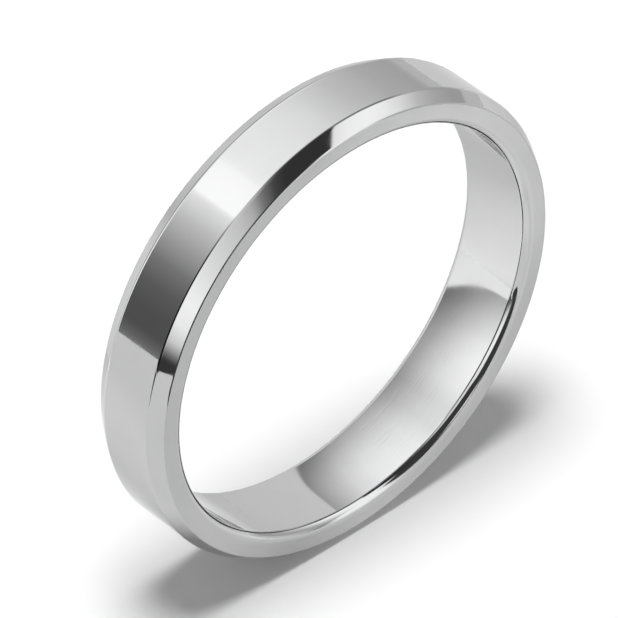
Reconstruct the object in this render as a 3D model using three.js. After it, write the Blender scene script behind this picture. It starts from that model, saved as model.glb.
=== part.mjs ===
// A plain wedding band with bevelled edges and a bore with rolled mouths, standing on its rim.
// Millimetres, +Z up. The origin is the centre of the bore and +Y runs along the bore's axis.
import * as THREE from 'three';

// Driving dimensions
const boreDiameter = 19.8;       // between the two rolled mouths: US ring size 10
const wallThickness = 1.5;       // from the bore to the outside
const bandWidth = 4.0;           // along the bore's axis

// Edges of the outside
const bevelWidth = 0.65;         // of each bevel, along the bore's axis
const bevelDrop = 0.4;           // of each bevel, towards the axis
const crestRadius = 0.35;        // polished break between the outside and a bevel
const rimRadius = 0.1;           // polished break between a bevel and a side face

// The bore's rolled mouths, each of two arcs
const mouthRadius = 0.5;         // from the side face inwards
const lipRadius = 0.25;          // from there into the bore
const mouthSlope = 36;           // degrees from the bore's wall where the two arcs meet

// Fineness of the faceted solid
const stepsAround = 120;
const stepsOnEdge = 2;
const stepsOnMouth = 4;
const stepsOnLip = 2;
const stepsOnBore = 2;

const metal = new THREE.MeshStandardMaterial({ color: 0xc4c5c6, roughness: 0.08, metalness: 1 });

const halfWidth = bandWidth / 2;
const boreRadius = boreDiameter / 2;
const outerRadius = boreRadius + wallThickness;
const slopeCosine = Math.cos(THREE.MathUtils.degToRad(mouthSlope));
const slopeSine = Math.sin(THREE.MathUtils.degToRad(mouthSlope));
const mouthStartRadius = boreRadius + mouthRadius * slopeCosine + lipRadius * (1 - slopeCosine);
const mouthDepth = mouthRadius * (1 - slopeSine) + lipRadius * slopeSine;

// Corners of one half of the wall's section, as (distance from the axis, height along the axis).
const crest = new THREE.Vector2(outerRadius, halfWidth - bevelWidth);
const rim = new THREE.Vector2(outerRadius - bevelDrop, halfWidth);

// Points of the arc of the given radius that rounds the corner where two straight edges meet.
function roundedCorner(before, corner, after, radius) {
  const incoming = corner.clone().sub(before).normalize();
  const outgoing = after.clone().sub(corner).normalize();
  const turn = incoming.angleTo(outgoing);
  const setback = radius * Math.tan(turn / 2);
  const start = corner.clone().addScaledVector(incoming, -setback);
  const inward = new THREE.Vector2(-incoming.y, incoming.x);
  const centre = start.clone().addScaledVector(inward, radius);
  return Array.from({ length: stepsOnEdge + 1 }, (_, step) => {
    const angle = turn * step / stepsOnEdge;
    return start.clone().rotateAround(centre, angle);
  });
}

// From the side face round into the bore; each angle is the surface's slope from the bore's wall.
function mouthPoints() {
  const slope = THREE.MathUtils.degToRad(mouthSlope);
  const roll = Array.from({ length: stepsOnMouth + 1 }, (_, step) => {
    const angle = Math.PI / 2 + (slope - Math.PI / 2) * step / stepsOnMouth;
    const radius = mouthStartRadius - mouthRadius * Math.cos(angle);
    return new THREE.Vector2(radius, halfWidth - mouthRadius * (1 - Math.sin(angle)));
  });
  const lip = Array.from({ length: stepsOnLip }, (_, step) => {
    const angle = slope * (1 - (step + 1) / stepsOnLip);
    const radius = boreRadius + lipRadius * (1 - Math.cos(angle));
    return new THREE.Vector2(radius, halfWidth - mouthDepth + lipRadius * Math.sin(angle));
  });
  return [...roll, ...lip];
}

// The plain bore between the two rolled edges.
function borePoints() {
  const reach = halfWidth - mouthDepth;
  return Array.from({ length: stepsOnBore - 1 }, (_, step) => {
    const share = 1 - 2 * (step + 1) / stepsOnBore;
    return new THREE.Vector2(boreRadius, reach * share);
  });
}

// The wall's section runs up the outside, across the far side face, down the bore and back.
function sectionPoints() {
  const outsideMiddle = new THREE.Vector2(outerRadius, 0);
  const mouthStart = new THREE.Vector2(mouthStartRadius, halfWidth);
  const half = [
    ...roundedCorner(outsideMiddle, crest, rim, crestRadius),
    ...roundedCorner(crest, rim, mouthStart, rimRadius),
    ...mouthPoints(),
  ];
  const otherHalf = half.map((point) => new THREE.Vector2(point.x, -point.y)).reverse();
  return [...half, ...borePoints(), ...otherHalf, half[0].clone()];
}

// LatheGeometry turns the section about Y, which is the bore's axis.
function makeBand() {
  const band = new THREE.Mesh(new THREE.LatheGeometry(sectionPoints(), stepsAround), metal);
  band.name = 'band';
  return band;
}

const ring = new THREE.Group();
ring.add(makeBand());

export default ring;
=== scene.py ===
import bpy
import numpy as np
from math import atan2, cos, pi, radians, sin
from mathutils import Matrix, Vector


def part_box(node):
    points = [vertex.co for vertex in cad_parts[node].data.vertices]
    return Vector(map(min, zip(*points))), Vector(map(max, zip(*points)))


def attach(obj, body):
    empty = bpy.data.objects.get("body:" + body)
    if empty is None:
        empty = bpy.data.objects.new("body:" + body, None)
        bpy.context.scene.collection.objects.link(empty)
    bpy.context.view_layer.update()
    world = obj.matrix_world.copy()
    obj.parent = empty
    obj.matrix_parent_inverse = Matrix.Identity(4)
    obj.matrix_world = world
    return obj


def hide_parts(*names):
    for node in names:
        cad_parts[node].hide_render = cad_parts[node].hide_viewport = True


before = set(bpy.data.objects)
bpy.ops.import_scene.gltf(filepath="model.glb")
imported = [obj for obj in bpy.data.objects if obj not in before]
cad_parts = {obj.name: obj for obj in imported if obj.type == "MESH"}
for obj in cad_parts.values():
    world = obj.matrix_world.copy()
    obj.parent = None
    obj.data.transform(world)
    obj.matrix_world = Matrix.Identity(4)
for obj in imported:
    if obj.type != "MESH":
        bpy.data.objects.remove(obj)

scene = bpy.context.scene
scene.view_settings.view_transform = "Standard"  # plain studio white stays white
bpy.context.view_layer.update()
mm = 0.001
lowCorner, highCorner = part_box("band")
outerRadius = highCorner.x
halfWidth = highCorner.y
floorHeight = lowCorner.z
across, wide = (round(2 * half / mm, 2) for half in (outerRadius, halfWidth))
print("frame loaded: band", across, "mm across,", wide, "mm wide")


cameraView = {
    "azimuth": -42.5,      # degrees round from the front, the side that faces -Y
    "elevation": 40.6,     # degrees above level
    "distance": 0.686,     # metres from the middle of the bore
    "focalLength": 940.0,  # a close crop through a long macro lens
    "bandOffset": 0.058,   # how far the band sits right of the picture's middle, in outer radii
}


def placeCamera(view):
    # right, up and back are the picture's own axes; the camera stands at back times the distance
    turn, lift = radians(view["azimuth"]), radians(view["elevation"])
    back = Vector((sin(turn) * cos(lift), -cos(turn) * cos(lift), sin(lift)))
    right = Vector((cos(turn), sin(turn), 0))
    up = back.cross(right)
    data = bpy.data.cameras.new("productCamera")
    data.lens = view["focalLength"]
    data.clip_end = 100
    camera = bpy.data.objects.new("productCamera", data)
    scene.collection.objects.link(camera)
    aim = -right * view["bandOffset"] * outerRadius
    axes = Matrix((right, up, back)).transposed().to_4x4()
    camera.matrix_world = Matrix.Translation(aim + back * view["distance"]) @ axes
    scene.camera = camera


placeCamera(cameraView)
print("camera placed")


def addNode(tree, kind, **settings):
    node = tree.nodes.new(kind)
    for name, value in settings.items():
        setattr(node, name, value)
    return node


def addMath(tree, operation, first, second=None):
    # first and second are sockets or numbers
    node = addNode(tree, "ShaderNodeMath", operation=operation)
    for socket, value in zip(node.inputs, (first, second)):
        if isinstance(value, bpy.types.NodeSocket):
            tree.links.new(value, socket)
        elif value is not None:
            socket.default_value = value
    return node.outputs[0]


def addLevels(tree, levels, share, brightest=1.0, span=360):
    # a ramp over places from 0 to the span, with each level kept as a share of the brightest
    ramp = addNode(tree, "ShaderNodeValToRGB")
    stops = ramp.color_ramp.elements
    while len(stops) > 1:
        stops.remove(stops[-1])
    for index, (place, level) in enumerate(levels):
        stop = stops[0] if index == 0 else stops.new(place / span)
        stop.position = place / span
        shade = level / brightest
        stop.color = (shade, shade, shade, 1)
    tree.links.new(share, ramp.inputs["Fac"])
    return ramp.outputs["Color"]


def addStep(tree, value, low, high):
    # smooth step: 0 below low, 1 above high
    node = addNode(tree, "ShaderNodeMapRange", interpolation_type="SMOOTHSTEP")
    tree.links.new(value, node.inputs["Value"])
    node.inputs["From Min"].default_value = low
    node.inputs["From Max"].default_value = high
    return node.outputs["Result"]


def addMix(tree, share, first, second):
    # first and second are sockets or grey levels
    node = addNode(tree, "ShaderNodeMix", data_type="RGBA")
    tree.links.new(share, node.inputs["Factor"])
    for label, value in (("A", first), ("B", second)):
        if isinstance(value, bpy.types.NodeSocket):
            tree.links.new(value, node.inputs[label])
        else:
            node.inputs[label].default_value = (value, value, value, 1)
    return node.outputs["Result"]


def addAngleShare(tree, vector):
    # angle of a vector round the bore's axis, as a share of a full turn
    parts = addNode(tree, "ShaderNodeSeparateXYZ")
    tree.links.new(vector, parts.inputs[0])
    angle = addMath(tree, "ARCTAN2", parts.outputs["Z"], parts.outputs["X"])
    return addMath(tree, "FRACT", addMath(tree, "DIVIDE", angle, 2 * pi)), parts


def addBackground(tree, color, strength):
    node = addNode(tree, "ShaderNodeBackground")
    if isinstance(color, bpy.types.NodeSocket):
        tree.links.new(color, node.inputs["Color"])
    else:
        node.inputs["Color"].default_value = (color, color, color, 1)
    node.inputs["Strength"].default_value = strength
    return node.outputs[0]


def newGroup(name, inputs, outputs):
    # a shader node group; inputs and outputs are (name, kind, default) rows
    group = bpy.data.node_groups.new(name, "ShaderNodeTree")
    for label, kind, default in inputs:
        socket = group.interface.new_socket(label, in_out="INPUT", socket_type="NodeSocket" + kind)
        if default is not None:
            socket.default_value = default
    for label, kind, default in outputs:
        group.interface.new_socket(label, in_out="OUTPUT", socket_type="NodeSocket" + kind)
    return group, group.nodes.new("NodeGroupInput"), group.nodes.new("NodeGroupOutput")


def addTurnedNoise(tree, length, width, detail=0.0):
    # noise drawn out round the band: its lines are `length` long and `width` wide, and they run on over the
    # edges, because they are laid by across = radius - abs(y), which falls all the way from outside to bore
    parts = addNode(tree, "ShaderNodeSeparateXYZ")
    tree.links.new(addNode(tree, "ShaderNodeTexCoord").outputs["Object"], parts.inputs[0])
    squares = [addMath(tree, "POWER", parts.outputs[axis], 2) for axis in ("X", "Z")]
    radius = addMath(tree, "SQRT", addMath(tree, "ADD", *squares))
    across = addMath(tree, "SUBTRACT", radius, addMath(tree, "ABSOLUTE", parts.outputs["Y"]))
    place = addNode(tree, "ShaderNodeCombineXYZ")
    tree.links.new(addMath(tree, "DIVIDE", parts.outputs["X"], length), place.inputs["X"])
    tree.links.new(addMath(tree, "DIVIDE", across, width), place.inputs["Y"])
    tree.links.new(addMath(tree, "DIVIDE", parts.outputs["Z"], length), place.inputs["Z"])
    noise = addNode(tree, "ShaderNodeTexNoise")
    tree.links.new(place.outputs[0], noise.inputs["Vector"])
    noise.inputs["Scale"].default_value = 1
    noise.inputs["Detail"].default_value = detail
    return noise.outputs[0]


def turnedGrain():
    # satin lines left by the abrasive wheel, as a height from 0 to 1
    group, given, made = newGroup("turnedGrain", [("Length", "Float", 1.0), ("Width", "Float", 1.0)],
                                  [("Height", "Float", None)])
    height = addTurnedNoise(group, given.outputs["Length"], given.outputs["Width"], 3.0)
    group.links.new(height, made.inputs["Height"])
    return group


def fineScratches(lineWidth=0.035, spellStart=0.95, spellFull=1.15):
    # hairlines where a drawn-out noise comes within lineWidth of its middle value, kept only in scattered
    # spells, where a second noise and the amount together pass spellStart
    group, given, made = newGroup(
        "fineScratches",
        [("Length", "Float", 1.0), ("Width", "Float", 1.0), ("Spell", "Float", 1.0),
         ("Amount", "Float", 0.5)],
        [("Mask", "Float", None)])
    lines = addTurnedNoise(group, given.outputs["Length"], given.outputs["Width"])
    nearMiddle = addMath(group, "ABSOLUTE", addMath(group, "SUBTRACT", lines, 0.5))
    line = addMath(group, "SUBTRACT", 1, addStep(group, nearMiddle, 0.0, lineWidth))
    spells = addTurnedNoise(group, given.outputs["Spell"], given.outputs["Spell"], 1.0)
    raised = addMath(group, "ADD", spells, given.outputs["Amount"])
    kept = addStep(group, raised, spellStart, spellFull)
    group.links.new(addMath(group, "MULTIPLY", line, kept), made.inputs["Mask"])
    return group


def handlingHaze(clearBelow=0.38, fullAbove=0.68):
    # soft patches that fingers and cloths leave on a polish, from 0 to 1
    group, given, made = newGroup("handlingHaze", [("Size", "Float", 1.0)], [("Mask", "Float", None)])
    patches = addTurnedNoise(group, given.outputs["Size"], given.outputs["Size"], 4.0)
    group.links.new(addStep(group, patches, clearBelow, fullAbove), made.inputs["Mask"])
    return group


def edgeWear(clearBelow=0.3, fullAbove=0.7):
    # rubbing along the turned-over edges: the edge mask, broken up along its length
    group, given, made = newGroup("edgeWear", [("Edge", "Float", 0.0), ("Size", "Float", 1.0)],
                                  [("Mask", "Float", None)])
    patches = addTurnedNoise(group, given.outputs["Size"], given.outputs["Size"], 3.0)
    broken = addStep(group, patches, clearBelow, fullAbove)
    group.links.new(addMath(group, "MULTIPLY", given.outputs["Edge"], broken), made.inputs["Mask"])
    return group


def addGroup(tree, group, **values):
    node = addNode(tree, "ShaderNodeGroup", node_tree=group)
    for name, value in values.items():
        if isinstance(value, bpy.types.NodeSocket):
            tree.links.new(value, node.inputs[name])
        else:
            node.inputs[name].default_value = value
    return node.outputs[0]


def addBump(tree, height, depth, normal=None):
    node = addNode(tree, "ShaderNodeBump")
    node.inputs["Distance"].default_value = depth
    tree.links.new(height, node.inputs["Height"])
    if normal is not None:
        tree.links.new(normal, node.inputs["Normal"])
    return node.outputs["Normal"]


metalFinish = {
    "tone": (0.54, 0.54, 0.545),  # bright grey white metal
    "sidePaintedShade": 0.82,             # painted shade: the satin side faces' colour is darkened to this share of it, for the darker reflections they show
    "glancing": 0.75,             # tint where the view is close to glancing
    "polish": 0.03,               # roughness of the mirror-polished outside, bevels and bore
    "satin": 0.17,                # roughness of the side faces
    "hazeRoughness": 0.03,        # what haze, scratches and edge wear add to the roughness
    "scratchRoughness": 0.05,
    "wearRoughness": 0.07,
    "hazeTone": 0.975,            # tone left where the haze is thickest
    "hazeSize": 2.4 * mm,
    "wearSize": 0.5 * mm,
    "grainLength": 5.0 * mm,
    "grainWidth": 0.05 * mm,
    "grainDepth": 0.0011 * mm,    # on the side faces
    "polishDepth": 0.00012 * mm,  # what the last polishing leaves of the same lines elsewhere
    "scratchLength": 6.0 * mm,
    "scratchWidth": 0.16 * mm,
    "scratchSpell": 1.6 * mm,
    "scratchAmount": 0.49,
    "scratchDepth": 0.00012 * mm,
}


def addShareOf(tree, mask, low, high):
    # low where the mask is 0, high where it is 1
    return addMath(tree, "ADD", addMath(tree, "MULTIPLY", mask, high - low), low)


def makeMetal(look):
    material = bpy.data.materials.new("polishedMetal")
    material.use_nodes = True
    tree = material.node_tree
    shader = tree.nodes["Principled BSDF"]
    shader.inputs["Metallic"].default_value = 1
    shader.inputs["Specular Tint"].default_value = (look["glancing"], look["glancing"], look["glancing"], 1)
    side = addNode(tree, "ShaderNodeAttribute", attribute_name="sideFace").outputs["Fac"]
    edge = addNode(tree, "ShaderNodeAttribute", attribute_name="edge").outputs["Fac"]
    grain = addGroup(tree, turnedGrain(), Length=look["grainLength"], Width=look["grainWidth"])
    scratches = addGroup(tree, fineScratches(), Length=look["scratchLength"], Width=look["scratchWidth"],
                         Spell=look["scratchSpell"], Amount=look["scratchAmount"])
    haze = addGroup(tree, handlingHaze(), Size=look["hazeSize"])
    wear = addGroup(tree, edgeWear(), Edge=edge, Size=look["wearSize"])

    clear, hazed = look["tone"], [channel * look["hazeTone"] for channel in look["tone"]]
    tone = addNode(tree, "ShaderNodeMix", data_type="RGBA")
    tree.links.new(haze, tone.inputs["Factor"])
    tone.inputs["A"].default_value = (*clear, 1)
    tone.inputs["B"].default_value = (*hazed, 1)
    # painted shade: the side faces' colour darkened for the darker reflections they show
    sideShade = addMix(tree, side, 1.0, look["sidePaintedShade"])
    shaded = addNode(tree, "ShaderNodeMix", data_type="RGBA", blend_type="MULTIPLY")
    shaded.inputs["Factor"].default_value = 1
    tree.links.new(tone.outputs["Result"], shaded.inputs["A"])
    tree.links.new(sideShade, shaded.inputs["B"])
    tree.links.new(shaded.outputs["Result"], shader.inputs["Base Color"])

    roughness = addShareOf(tree, side, look["polish"], look["satin"])
    for mask, added in ((haze, "hazeRoughness"), (scratches, "scratchRoughness"), (wear, "wearRoughness")):
        roughness = addMath(tree, "ADD", roughness, addMath(tree, "MULTIPLY", mask, look[added]))
    tree.links.new(roughness, shader.inputs["Roughness"])

    depth = addShareOf(tree, side, look["polishDepth"], look["grainDepth"])
    lines = addMath(tree, "MULTIPLY", grain, depth)
    normal = addBump(tree, lines, 1.0)
    grooves = addMath(tree, "MULTIPLY", scratches, -look["scratchDepth"])
    tree.links.new(addBump(tree, grooves, 1.0, normal), shader.inputs["Normal"])
    return material


bandShape = {
    "boreRadius": 9.9 * mm,
    "bevelWidth": 0.65 * mm,
    "bevelDrop": 0.4 * mm,
    "crestRadius": 0.35 * mm,  # polished break between the outside and a bevel
    "rimRadius": 0.1 * mm,     # polished break between a bevel and a side face
    "bevelDome": radians(2),   # how far buffing has turned a bevel's two edges over
    "mouthRadius": 0.5 * mm,   # of the mouth's roll, from the side face inwards
    "lipRadius": 0.25 * mm,    # of its lip, from there into the bore
    "mouthSlope": radians(36),  # from the bore's wall, where roll and lip meet
    "satinStart": radians(35),  # the satin starts where a normal comes this close to the bore's axis
    "satinWhole": radians(12),  # and is whole this close to it
    "stepsAround": 480,
    "flatSteps": 4,             # along each straight stretch of the section but the bevel
    "bevelSteps": 6,
    "crestSteps": 12,
    "rimSteps": 10,
    "rollSteps": 16,
    "lipSteps": 12,
}


def straight(start, end, steps, dome=0.0):
    # points from start to end; their normals lean from -dome to +dome about the one to the right of the way
    share = np.linspace(0, 1, steps + 1)
    way = end - start
    normalAngle = atan2(-way[0], way[1]) + dome * (2 * share - 1)
    normals = np.stack([np.cos(normalAngle), np.sin(normalAngle)], 1)
    return start + way * share[:, None], normals


def roundedCorner(before, corner, after, radius, steps, domeBefore=0.0, domeAfter=0.0):
    # the arc that touches both edges of a corner: normals turn evenly from one edge's to the other's
    incoming = (corner - before) / np.linalg.norm(corner - before)
    outgoing = (after - corner) / np.linalg.norm(after - corner)
    turn = np.arccos(np.clip(incoming @ outgoing, -1, 1))
    start = corner - incoming * radius * np.tan(turn / 2)
    firstAngle = atan2(-incoming[0], incoming[1])
    arcAngle = firstAngle + turn * np.linspace(0, 1, steps + 1)
    arc = np.stack([np.cos(arcAngle), np.sin(arcAngle)], 1)
    centre = start - arc[0] * radius
    normalAngle = np.linspace(firstAngle + domeBefore, firstAngle + turn - domeAfter, steps + 1)
    return centre + arc * radius, np.stack([np.cos(normalAngle), np.sin(normalAngle)], 1)


def rolledMouth(shape):
    # two arcs by the surface's slope from the bore's wall: the roll starts square to the wall at the side
    # face, radius = start - roll * cos, height = side - roll * (1 - sin); the lip runs on into the wall,
    # radius = bore + lip * (1 - cos), height = foot + lip * sin
    roll, lip, slope = shape["mouthRadius"], shape["lipRadius"], shape["mouthSlope"]
    startRadius = shape["boreRadius"] + roll * cos(slope) + lip * (1 - cos(slope))
    foot = halfWidth - roll * (1 - sin(slope)) - lip * sin(slope)
    rollAngle = np.linspace(pi / 2, slope, shape["rollSteps"] + 1)
    lipAngle = np.linspace(slope, 0, shape["lipSteps"] + 1)[1:]
    points = np.concatenate([
        np.stack([startRadius - roll * np.cos(rollAngle), halfWidth - roll * (1 - np.sin(rollAngle))], 1),
        np.stack([shape["boreRadius"] + lip * (1 - np.cos(lipAngle)), foot + lip * np.sin(lipAngle)], 1),
    ])
    angle = np.concatenate([rollAngle, lipAngle])
    return points, np.stack([-np.cos(angle), np.sin(angle)], 1)


def halfSection(shape):
    # from the middle of the outside over the bevel and side face into the middle of the bore
    middle = np.array([outerRadius, 0])
    crest = np.array([outerRadius, halfWidth - shape["bevelWidth"]])
    rim = np.array([outerRadius - shape["bevelDrop"], halfWidth])
    boreMiddle = np.array([shape["boreRadius"], 0])
    dome, flat = shape["bevelDome"], shape["flatSteps"]
    mouth = rolledMouth(shape)
    crestArc = roundedCorner(
        middle, crest, rim, shape["crestRadius"], shape["crestSteps"], domeAfter=dome)
    rimArc = roundedCorner(
        crest, rim, mouth[0][0], shape["rimRadius"], shape["rimSteps"], domeBefore=dome)
    stretches = [
        straight(middle, crestArc[0][0], flat), crestArc,
        straight(crestArc[0][-1], rimArc[0][0], shape["bevelSteps"], dome), rimArc,
        straight(rimArc[0][-1], mouth[0][0], flat), mouth,
        straight(mouth[0][-1], boreMiddle, flat),
    ]
    points = np.concatenate([points[:-1] for points, _ in stretches])
    normals = np.concatenate([normals[:-1] for _, normals in stretches])
    # side mask = (a normal's cosine to the axis - start) / (whole - start), held between 0 and 1
    start, whole = cos(shape["satinStart"]), cos(shape["satinWhole"])
    side = np.clip((np.abs(normals[:, 1]) - start) / (whole - start), 0, 1)
    # edge mask: for each stretch, how exposed to rubbing it is, times a sine that is 1 at its middle
    exposed = [0, 1, 0, 0.8, 0, 0.4, 0]
    edge = np.concatenate([
        share * np.sin(np.linspace(0, pi, len(points)))[:-1]
        for share, (points, _) in zip(exposed, stretches)
    ])
    return points, normals, np.stack([side, edge], 1)


def wholeSection(shape):
    # the half section, then its mirror image back to the start
    points, normals, masks = halfSection(shape)
    boreMiddle = np.array([[shape["boreRadius"], 0]])
    flip = np.array([1, -1])
    points = np.concatenate([points, boreMiddle, points[:0:-1] * flip])
    normals = np.concatenate([normals, [[-1, 0]], normals[:0:-1] * flip])
    masks = np.concatenate([masks, [[0, 0]], masks[:0:-1]])
    return points, normals, masks


def turnedSurface(name, points, normals, around):
    # every section point carried round the axis: x = radius * cos(angle), y = height along the axis,
    # z = radius * sin(angle)
    angle = np.linspace(0, 2 * pi, around, endpoint=False)[:, None]
    rows = len(points)

    def carried(section):
        radial, along = section[None, :, 0], section[None, :, 1]
        grid = np.stack([
            radial * np.cos(angle), np.broadcast_to(along, (around, rows)), radial * np.sin(angle),
        ], 2)
        return grid.reshape(-1, 3)

    column, row = np.meshgrid(np.arange(around), np.arange(rows), indexing="ij")
    nextColumn, nextRow = (column + 1) % around, (row + 1) % rows
    faces = np.stack([
        column * rows + row, column * rows + nextRow,
        nextColumn * rows + nextRow, nextColumn * rows + row,
    ], 2).reshape(-1, 4)
    mesh = bpy.data.meshes.new(name)
    mesh.vertices.add(around * rows)
    mesh.vertices.foreach_set("co", carried(points).ravel())
    mesh.loops.add(faces.size)
    mesh.loops.foreach_set("vertex_index", faces.ravel())
    mesh.polygons.add(len(faces))
    mesh.polygons.foreach_set("loop_start", np.arange(0, faces.size, 4))
    mesh.update(calc_edges=True)
    mesh.validate()
    mesh.shade_smooth()
    mesh.normals_split_custom_set_from_vertices(carried(normals))
    return mesh


def makeBand(shape, metal):
    points, normals, masks = wholeSection(shape)
    mesh = turnedSurface("bandSurface", points, normals, shape["stepsAround"])
    for name, values in zip(("sideFace", "edge"), masks.T):
        mask = mesh.attributes.new(name, "FLOAT", "POINT")
        mask.data.foreach_set("value", np.tile(values, shape["stepsAround"]).astype(np.float32))
    mesh.materials.append(metal)
    band = bpy.data.objects.new("bandSurface", mesh)
    scene.collection.objects.link(band)
    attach(band, "root")
    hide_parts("band")
    return band


band = makeBand(bandShape, makeMetal(metalFinish))
print("band surface made:", len(band.data.polygons), "faces")


studio = {
    "floorLeft": -8.5,       # where the white sheet ends, in outer radii from the bore's middle
    "floorFront": -2.1,
    "floorReach": 14.0,      # how far it runs to the right and behind
    "keySpread": 24.0,       # degrees that the overhead softbox spans, seen from the band
    "keyTilt": 5.0,          # degrees that it stands left of straight overhead
    "keyStrength": 2.7,
    "ambient": 0.28,         # what the room adds to the floor
    # A direction's share along the bore's axis is 1 straight behind the band and -1 straight in front.
    "gapBottom": 0.09,       # the dark gap between the front and back panels, from this share
    "gapTop": 0.43,          # to this one
    "gapLevel": 0.003,
    "gapFade": (0.05, 0.02),  # how far its edges fade outwards and inwards
    "panelBlend": 0.15,      # how far either side of the gap's middle the two sets of panels blend
    "capBelow": -0.7,        # below this share the room's front end is mostly dark
    "capFade": (0.04, 0.01),  # how far its edge fades below and above that share
    "capReach": 0.11,        # how much further back it reaches where frontReach is 1
    "slant": 26.0,           # degrees that the front panels' edges lean for each unit of the share
    "slantEnd": -0.3,        # up to this share
    "slantMiddle": -0.41,    # where the panels stand at their listed angles
    "behindCap": 0.9,        # brightness straight behind the band
    "behindFrom": (0.8, 0.95),  # it starts at the first share and is whole from the second
    "frontWindow": 1.4,      # brightness of the small window straight in front of it
    "windowTo": (-0.998, -0.991),  # it is whole up to the first share and ends at the second
    "brightest": 2.0,
}
# Brightness of the room round the bore's axis: 0 degrees is the right, 90 overhead, 180 the left.
backPanels = [
    (0, 0.78), (4, 0.68), (22, 0.74), (42, 0.95), (62, 1.27), (82, 1.45), (96, 1.5), (100.5, 1.58),
    (103, 1.72), (112, 1.78), (118.5, 1.78), (120, 1.38), (131, 0.91), (142, 0.58), (152, 0.31),
    (162, 0.185), (172, 0.14), (182, 0.135), (187, 0.22), (191, 0.36), (230, 1.0), (340, 1.0), (360, 0.84),
]
frontPanels = [
    (0, 0.86), (4.3, 0.84), (5, 0.6), (11, 0.6), (20, 0.7), (28, 0.9), (36, 1.27), (44, 1.52), (52, 1.62),
    (60, 1.57), (67.5, 1.42), (68, 0.05), (92, 0.055), (98, 0.1), (105, 0.32), (111, 0.75), (119, 0.98),
    (139, 1.27), (150, 1.47), (159, 1.62), (169, 1.52), (177, 1.08), (183, 0.3), (186, 0.06), (200, 0.06),
    (230, 0.6), (340, 0.95), (360, 0.86),
]
# Where the dark front end reaches further back, from 0 to 1.
frontReach = [(0, 0.0), (96, 0.0), (104, 1.0), (138, 1.0), (146, 0.0)]
# Brightness of the front end of the room, from its left side at 0 to its right side at 360.
frontEnd = [(0, 0.065), (228, 0.065), (238, 1.6), (284, 1.6), (298, 0.4), (360, 0.4)]
# How deep the dark gap between the two sets of panels is, from 0 to 1.
gapDepth = [
    (0, 0.0), (26, 0.15), (36, 0.7), (62, 0.75), (70, 0.6), (98, 0.3), (104, 0.0), (117, 0.0),
    (127, 0.6), (140, 0.95), (160, 1.0), (205, 1.0), (215, 0.0),
]


def makeRoom(look):
    # panels by direction: reflections show them, paper gets an even ambient light, the camera plain white
    world = bpy.data.worlds.new("lightTent")
    world.use_nodes = True
    scene.world = world
    tree = world.node_tree
    tree.nodes.clear()
    share, direction = addAngleShare(tree, addNode(tree, "ShaderNodeTexCoord").outputs["Generated"])
    along = direction.outputs["Y"]
    bright = look["brightest"]
    behind = addLevels(tree, backPanels, share, bright)
    lean = addMath(tree, "MINIMUM", along, look["slantEnd"])
    lean = addMath(tree, "SUBTRACT", lean, look["slantMiddle"])
    lean = addMath(tree, "MULTIPLY", lean, look["slant"] / 360)
    front = addLevels(tree, frontPanels, addMath(tree, "ADD", share, lean), bright)
    bottom, top, cap = look["gapBottom"], look["gapTop"], look["capBelow"]
    middle, blend = (bottom + top) / 2, look["panelBlend"]
    panels = addMix(tree, addStep(tree, along, middle - blend, middle + blend), front, behind)
    outwards, inwards = look["gapFade"]
    aboveBottom = addStep(tree, along, bottom - outwards, bottom + inwards)
    belowTop = addMath(tree, "SUBTRACT", 1, addStep(tree, along, top - inwards, top + outwards))
    inGap = addMath(tree, "MULTIPLY", aboveBottom, belowTop)
    inGap = addMath(tree, "MULTIPLY", inGap, addLevels(tree, gapDepth, share))
    level = addMix(tree, inGap, panels, look["gapLevel"])
    sideways = addMath(tree, "DIVIDE", addMath(tree, "ADD", direction.outputs["X"], 1), 2)
    endLevel = addLevels(tree, frontEnd, sideways, bright)
    reach = addMath(tree, "MULTIPLY", addLevels(tree, frontReach, share), look["capReach"])
    reached = addMath(tree, "SUBTRACT", along, reach)
    below, above = look["capFade"]
    level = addMix(tree, addStep(tree, reached, cap - below, cap + above), endLevel, level)
    level = addMix(tree, addStep(tree, along, *look["behindFrom"]), level, look["behindCap"] / bright)
    level = addMix(tree, addStep(tree, along, *look["windowTo"]), look["frontWindow"] / bright, level)
    path = addNode(tree, "ShaderNodeLightPath")
    shown = addBackground(tree, level, bright)
    for seenBy, background in (
        ("Is Diffuse Ray", addBackground(tree, 1.0, look["ambient"])),
        ("Is Camera Ray", addBackground(tree, 1.0, 1.0)),
    ):
        choice = addNode(tree, "ShaderNodeMixShader")
        tree.links.new(path.outputs[seenBy], choice.inputs["Fac"])
        tree.links.new(shown, choice.inputs[1])
        tree.links.new(background, choice.inputs[2])
        shown = choice.outputs[0]
    output = addNode(tree, "ShaderNodeOutputWorld")
    tree.links.new(shown, output.inputs["Surface"])


paper = {
    "shade": 0.9,
    # strength of the painted glow that only the metal mirrors
    "glow": 0.5,
    # the front left corner reaches further forward than the rest, with its tip cut off, in outer radii
    "wing": [(-9.0, -2.1), (-9.0, -2.55), (-7.3, -3.5), (-4.5, -3.5), (-4.5, -2.1)],
    # painted shade: a round grey patch (the card) painted on the sheet, which only the metal mirrors
    "paintedPatchPlace": (1.0, -0.5),
    "paintedPatchRadius": 0.95,
    "paintedPatchCore": 0.4,        # share of its radius over which it is at full strength
    "paintedPatchShade": 0.77,
    "diagonalSpan": 10.0,   # outer radii of the sheet's diagonal that the two lists below run over
    "diagonalShift": 4.0,
}
# A glow painted on the sheet in place of a low strip lamp, painted light that only the metal mirrors, by
# distance along the sheet's diagonal in outer radii: place = (x + y) / outer radius + diagonalShift.
paintedSheetGlow = [
    (2.6, 0.0), (3.0, 0.11), (3.3, 0.11), (3.5, 0.06), (3.85, 0.36), (4.1, 0.4), (4.5, 0.3), (4.8, 0.2),
    (5.0, 0.12), (5.3, 0.0),
]
# The sheet's shade where the metal mirrors it is painted along the same diagonal: it is lightest at the
# back right.
paintedMirroredShade = [(0, 0.86), (8.3, 0.84), (8.9, 0.9), (10, 0.96)]


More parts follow.
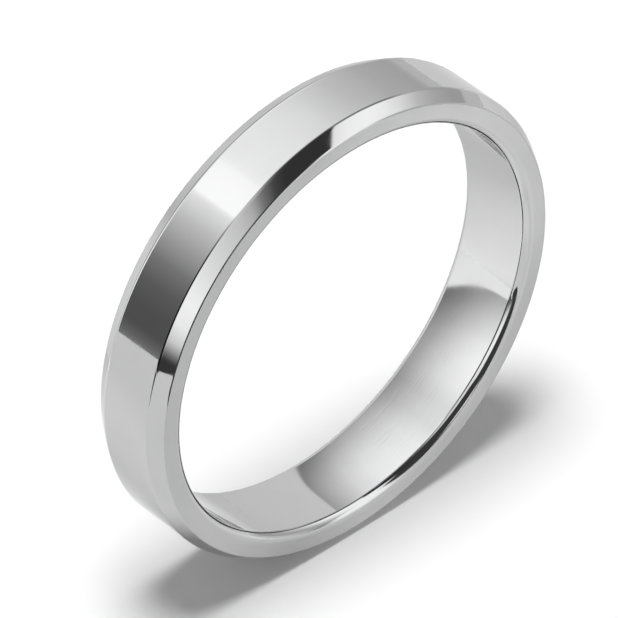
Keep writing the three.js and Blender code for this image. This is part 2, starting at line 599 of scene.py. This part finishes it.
def makeFloor(look, sheet):
    # a flat sheet under the band, level with the lowest point of its rim
    left, front = look["floorLeft"] * outerRadius, look["floorFront"] * outerRadius
    reach = look["floorReach"] * outerRadius
    wing = [(x * outerRadius, y * outerRadius) for x, y in sheet["wing"]]
    corners = [*wing, (reach, front), (reach, reach), (left, reach)]
    mesh = bpy.data.meshes.new("whiteSheet")
    mesh.from_pydata([(x, y, floorHeight) for x, y in corners], [], [tuple(range(len(corners)))])
    material = bpy.data.materials.new("whitePaper")
    material.use_nodes = True
    tree = material.node_tree
    shader = tree.nodes["Principled BSDF"]
    shader.inputs["Roughness"].default_value = 1
    shader.inputs["Specular IOR Level"].default_value = 0
    # what the metal mirrors of the sheet is painted: painted shade along the diagonal, a painted grey patch
    # and a painted glow; camera and diffuse rays see the plain sheet
    mirrored = addNode(tree, "ShaderNodeLightPath").outputs["Is Glossy Ray"]
    parts = addNode(tree, "ShaderNodeSeparateXYZ")
    tree.links.new(addNode(tree, "ShaderNodeTexCoord").outputs["Object"], parts.inputs[0])
    diagonal = addMath(tree, "ADD", parts.outputs["X"], parts.outputs["Y"])
    span = sheet["diagonalSpan"]
    shifted = addMath(tree, "DIVIDE", diagonal, outerRadius)
    shifted = addMath(tree, "ADD", shifted, sheet["diagonalShift"])
    place = addMath(tree, "DIVIDE", shifted, span)
    glow = addLevels(tree, paintedSheetGlow, place, sheet["glow"], span)
    tree.links.new(glow, shader.inputs["Emission Color"])
    shade = addLevels(tree, paintedMirroredShade, place, 1.0, span)
    # the painted grey patch: painted shade on the mirrored sheet, darkest round its middle
    squares = []
    for axis, middle in zip(("X", "Y"), sheet["paintedPatchPlace"]):
        away = addMath(tree, "SUBTRACT", parts.outputs[axis], middle * outerRadius)
        squares.append(addMath(tree, "POWER", away, 2))
    fromPaintedPatch = addMath(tree, "DIVIDE", addMath(tree, "SQRT", addMath(tree, "ADD", *squares)), outerRadius)
    offPaintedPatch = addStep(tree, fromPaintedPatch, sheet["paintedPatchCore"] * sheet["paintedPatchRadius"], sheet["paintedPatchRadius"])
    darkened = addNode(tree, "ShaderNodeMix", data_type="RGBA", blend_type="MULTIPLY")
    darkened.inputs["Factor"].default_value = 1
    tree.links.new(shade, darkened.inputs["A"])
    tree.links.new(addMix(tree, offPaintedPatch, sheet["paintedPatchShade"], 1.0), darkened.inputs["B"])
    shade = darkened.outputs["Result"]
    tree.links.new(addMix(tree, mirrored, sheet["shade"], shade), shader.inputs["Base Color"])
    strength = addMath(tree, "MULTIPLY", mirrored, sheet["glow"])
    tree.links.new(strength, shader.inputs["Emission Strength"])
    mesh.materials.append(material)
    floor = bpy.data.objects.new("whiteSheet", mesh)
    scene.collection.objects.link(floor)


def makeKeyLight(look):
    data = bpy.data.lights.new("overheadSoftbox", "SUN")
    data.angle = radians(look["keySpread"])
    data.energy = look["keyStrength"]
    light = bpy.data.objects.new("overheadSoftbox", data)
    light.visible_glossy = False
    light.rotation_euler = (0, -radians(look["keyTilt"]), 0)
    scene.collection.objects.link(light)


reflector = {
    "distance": 2.0,    # behind the bore's middle, in outer radii
    "radius": 3.1,
    "corners": 96,      # round its rim
    "hubRadius": 1.4,   # the graded part starts here
    "hubFade": 0.04,    # how far either side of that the two blend
    "bow": 5.4,         # how far its rings of even brightness bow out towards the two edges
    "brightest": 2.2,
    "middle": 112.0,    # degrees round the card at which the graded part is centred
    "narrowsInside": 2.45,
    "narrowing": 0.98,  # how strongly the graded part narrows towards the hub
}
# Brightness round the reflector, from the right over the top to the left.
reflectorLevels = [
    (0, 0.97), (30, 0.99), (30.7, 0.6), (34, 0.72), (38, 0.84), (45, 1.06), (53, 1.34), (66, 1.56),
    (80, 1.62), (94, 1.58), (108, 1.35), (123, 1.33), (137, 1.6), (152, 1.72), (166, 1.62), (180, 1.3),
    (189, 1.02), (196, 0.85), (196.8, 1.42), (210, 1.4), (240, 1.0), (360, 0.97),
]
# Where the brightness also falls towards the hub, and the hub's own brightness.
reflectorGraded = [(0, 0.0), (30, 0.0), (30.7, 1.0), (196, 1.0), (196.8, 0.0)]
hubLevels = [
    (0, 1.05), (24, 1.08), (45, 1.03), (62, 1.02), (80, 1.08), (96, 1.05), (118, 0.95), (134, 0.85),
    (155, 1.1), (165, 1.18), (240, 1.18), (260, 1.1), (360, 1.05),
]
# Brightness along the card's radius over its graded part, in outer radii.
fallOff = [(1.4, 0.26), (1.8, 0.29), (1.93, 0.41), (2.05, 0.64), (2.17, 0.84), (2.3, 0.95), (2.5, 1.0)]


def makeReflector(look):
    # a round graded card behind the band, which only its mirror surfaces see
    angle = np.linspace(0, 2 * pi, look["corners"], endpoint=False)
    radius, depth = look["radius"] * outerRadius, look["distance"] * outerRadius
    rim = np.stack([radius * np.cos(angle), np.full_like(angle, depth), radius * np.sin(angle)], 1)
    mesh = bpy.data.meshes.new("reflectorCard")
    mesh.from_pydata(rim.tolist(), [], [tuple(range(len(rim)))])
    material = bpy.data.materials.new("reflectorCard")
    material.use_nodes = True
    tree = material.node_tree
    tree.nodes.clear()
    share, place = addAngleShare(tree, addNode(tree, "ShaderNodeTexCoord").outputs["Object"])
    squares = [addMath(tree, "POWER", place.outputs[axis], 2) for axis in ("X", "Z")]
    distance = addMath(tree, "DIVIDE", addMath(tree, "SQRT", addMath(tree, "ADD", *squares)), outerRadius)
    # the graded part's two edges close in as the square of the distance inside narrowsInside
    inside = addMath(tree, "MAXIMUM", addMath(tree, "SUBTRACT", look["narrowsInside"], distance), 0)
    squeeze = addMath(tree, "MULTIPLY", addMath(tree, "POWER", inside, 2), look["narrowing"])
    middle = look["middle"] / 360
    off = addMath(tree, "SUBTRACT", share, middle)
    bent = addMath(tree, "ADD", addMath(tree, "MULTIPLY", off, addMath(tree, "ADD", squeeze, 1)), middle)
    # and its rings of even brightness bow out as the square of the angle from its middle
    bowed = addMath(tree, "POWER", addMath(tree, "ABSOLUTE", off), 2)
    bowed = addMath(tree, "MULTIPLY", bowed, look["bow"])
    ringPlace = addMath(tree, "DIVIDE", addMath(tree, "SUBTRACT", distance, bowed), look["radius"])
    bright = look["brightest"]
    level = addLevels(tree, reflectorLevels, bent, bright)
    shaded = addNode(tree, "ShaderNodeMix", data_type="RGBA", blend_type="MULTIPLY")
    tree.links.new(addLevels(tree, reflectorGraded, bent), shaded.inputs["Factor"])
    tree.links.new(level, shaded.inputs["A"])
    tree.links.new(addLevels(tree, fallOff, ringPlace, 1.0, look["radius"]), shaded.inputs["B"])
    hub, fade = look["hubRadius"], look["hubFade"]
    level = addMix(
        tree, addStep(tree, distance, hub - fade, hub + fade),
        addLevels(tree, hubLevels, share, bright), shaded.outputs["Result"])
    glow = addNode(tree, "ShaderNodeEmission")
    tree.links.new(level, glow.inputs["Color"])
    glow.inputs["Strength"].default_value = bright
    output = addNode(tree, "ShaderNodeOutputMaterial")
    tree.links.new(glow.outputs[0], output.inputs["Surface"])
    mesh.materials.append(material)
    card = bpy.data.objects.new("reflectorCard", mesh)
    card.visible_camera = card.visible_diffuse = card.visible_shadow = False
    scene.collection.objects.link(card)


# A black flag lies on the sheet left of the band, mirrored in the break between outside and near bevel.
flagCorners = [(-3.2, 0.6), (-8.4, 3.4), (-8.4, 0.7)]  # in outer radii
flagLift = 0.02 * mm  # above the sheet


def makeFlag(corners):
    height = floorHeight + flagLift
    mesh = bpy.data.meshes.new("blackFlag")
    mesh.from_pydata([(x * outerRadius, y * outerRadius, height) for x, y in corners], [], [(0, 1, 2)])
    material = bpy.data.materials.new("blackFlag")
    material.use_nodes = True
    shader = material.node_tree.nodes["Principled BSDF"]
    shader.inputs["Base Color"].default_value = (0.01, 0.01, 0.01, 1)
    shader.inputs["Specular IOR Level"].default_value = 0
    mesh.materials.append(material)
    flag = bpy.data.objects.new("blackFlag", mesh)
    flag.visible_camera = flag.visible_diffuse = flag.visible_shadow = False
    scene.collection.objects.link(flag)


makeReflector(reflector)
makeFlag(flagCorners)
makeRoom(studio)
makeFloor(studio, paper)
makeKeyLight(studio)
print("studio set up")
